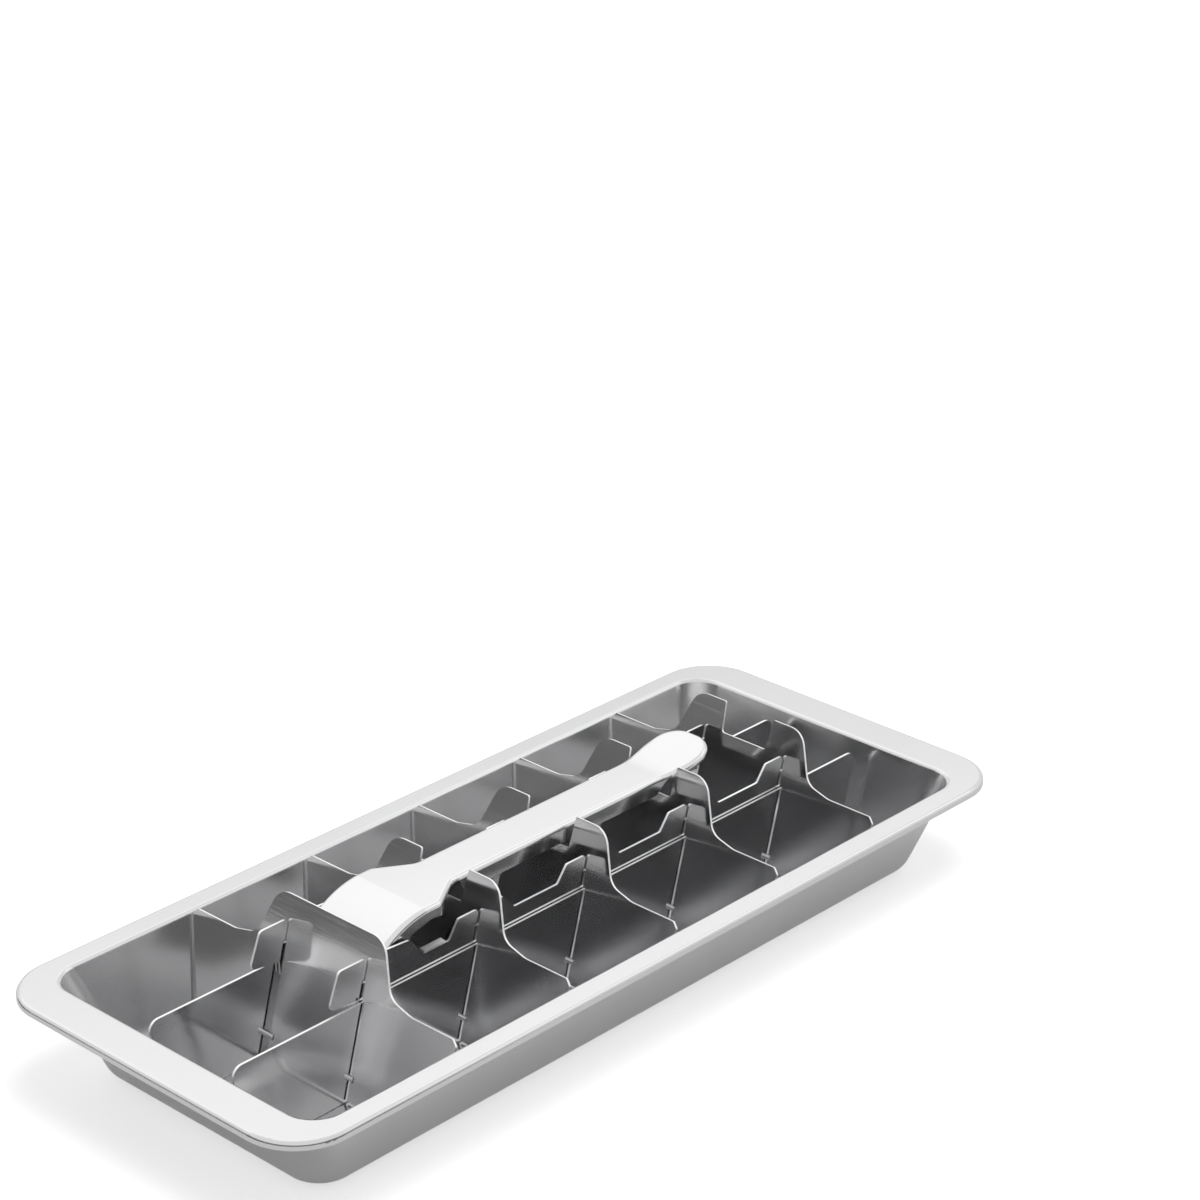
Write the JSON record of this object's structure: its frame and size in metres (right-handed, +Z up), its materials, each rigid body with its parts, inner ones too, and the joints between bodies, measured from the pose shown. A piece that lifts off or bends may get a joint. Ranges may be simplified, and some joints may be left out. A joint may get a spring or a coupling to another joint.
{
  "type": "lever ice cube tray",
  "caption": "Pressed steel ice cube tray with a lift-out divider grid whose lever slides two bars and tilts the cross dividers to free the ice.",
  "frame": {"origin": "centre of the tray's underside", "axes": "+X along the tray towards the lever's tip, +Z up, +Y across the tray"},
  "size_m": [0.28, 0.118, 0.0472],
  "materials": {
    "tray_steel": "satin polished",
    "grid_steel": "bright rolled",
    "lever_steel": "polished",
    "pin_steel": "turned"
  },
  "bodies": {
    "tray": {"tray": "tray_steel"},
    "grid": {"rail_near": "grid_steel", "rail_far": "grid_steel", "pivot_pins": "pin_steel", "divider_pins": "pin_steel"},
    "slide_bars": {"slide_bar_near": "grid_steel", "slide_bar_far": "grid_steel"},
    "lever": {"lever": "lever_steel", "drive_pins": "pin_steel"},
    "divider_1": {"cross_divider_1": "grid_steel"},
    "divider_2": {"cross_divider_2": "grid_steel"},
    "divider_3": {"cross_divider_3": "grid_steel"},
    "divider_4": {"cross_divider_4": "grid_steel"},
    "divider_5": {"cross_divider_5": "grid_steel"}
  },
  "joints": [
    {"name": "grid_lift", "type": "slide", "parent": "tray", "child": "grid", "axis": [0, 0, 1], "range_m": [0, 0.06]},
    {"name": "lever_hinge", "type": "hinge", "parent": "grid", "child": "lever", "pos_m": [-0.06925, 0, 0.0214], "axis": [0, -1, 0], "range_deg": [0, 40.5]},
    {"name": "bars_slide", "type": "slide", "parent": "grid", "child": "slide_bars", "axis": [-1, 0, 0], "range_m": [0, 0.00402]},
    {"name": "divider_1_hinge", "type": "hinge", "parent": "grid", "child": "divider_1", "pos_m": [-0.0831, 0, 0.0075], "axis": [0, -1, 0], "range_deg": [0, 7.5]},
    {"name": "divider_2_hinge", "type": "hinge", "parent": "grid", "child": "divider_2", "pos_m": [-0.0417, 0, 0.0075], "axis": [0, -1, 0], "range_deg": [0, 7.5]},
    {"name": "divider_3_hinge", "type": "hinge", "parent": "grid", "child": "divider_3", "pos_m": [-0.0003, 0, 0.0075], "axis": [0, -1, 0], "range_deg": [0, 7.5]},
    {"name": "divider_4_hinge", "type": "hinge", "parent": "grid", "child": "divider_4", "pos_m": [0.0411, 0, 0.0075], "axis": [0, -1, 0], "range_deg": [0, 7.5]},
    {"name": "divider_5_hinge", "type": "hinge", "parent": "grid", "child": "divider_5", "pos_m": [0.0825, 0, 0.0075], "axis": [0, -1, 0], "range_deg": [0, 7.5]}
  ],
  "couplings": [
    {"joint": "bars_slide", "follows": "lever_hinge", "m_per_rad": 0.0056891},
    {"joint": "divider_1_hinge", "follows": "lever_hinge", "ratio": 0.18518},
    {"joint": "divider_2_hinge", "follows": "lever_hinge", "ratio": 0.18518},
    {"joint": "divider_3_hinge", "follows": "lever_hinge", "ratio": 0.18518},
    {"joint": "divider_4_hinge", "follows": "lever_hinge", "ratio": 0.18518},
    {"joint": "divider_5_hinge", "follows": "lever_hinge", "ratio": 0.18518}
  ]
}
